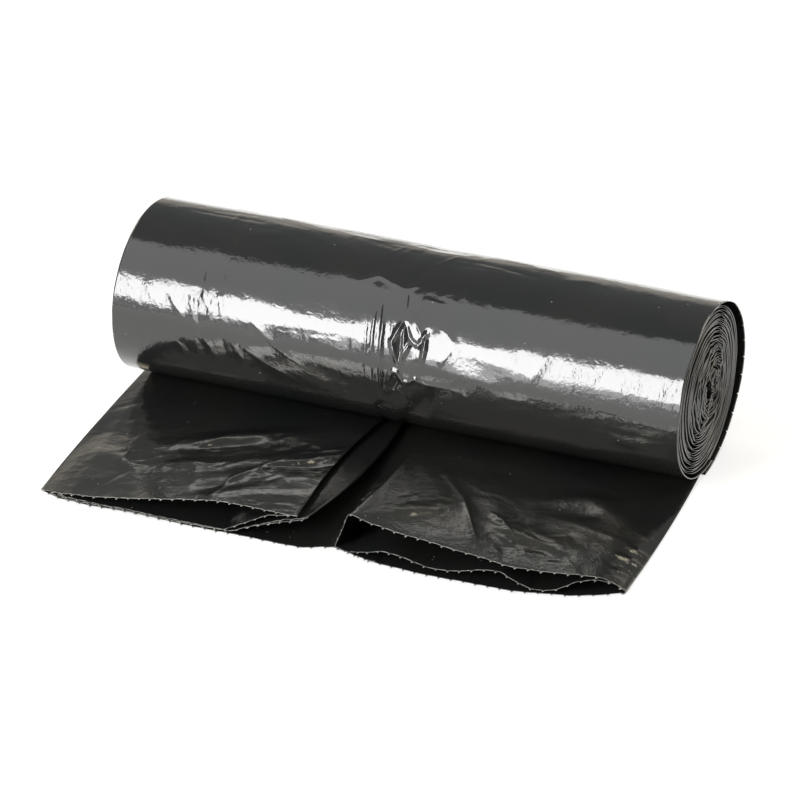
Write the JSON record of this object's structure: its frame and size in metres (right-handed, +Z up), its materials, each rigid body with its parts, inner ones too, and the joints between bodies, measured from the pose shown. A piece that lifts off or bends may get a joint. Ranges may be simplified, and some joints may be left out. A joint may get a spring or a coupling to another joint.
{
  "type": "bin bag roll",
  "caption": "Roll of black refuse sacks, folded lengthwise and wound without a core, with its leading sack drawn out flat in front to a torn, perforated mouth.",
  "frame": {"origin": "on the table, under the middle of the wound turns", "axes": "+X along the roll to its right end, +Y from the torn mouth to the back of the roll, +Z up"},
  "size_m": [0.2345, 0.1486, 0.068],
  "materials": {
    "film": "gloss"
  },
  "bodies": {
    "root": {"bag_roll": "film"}
  },
  "joints": []
}
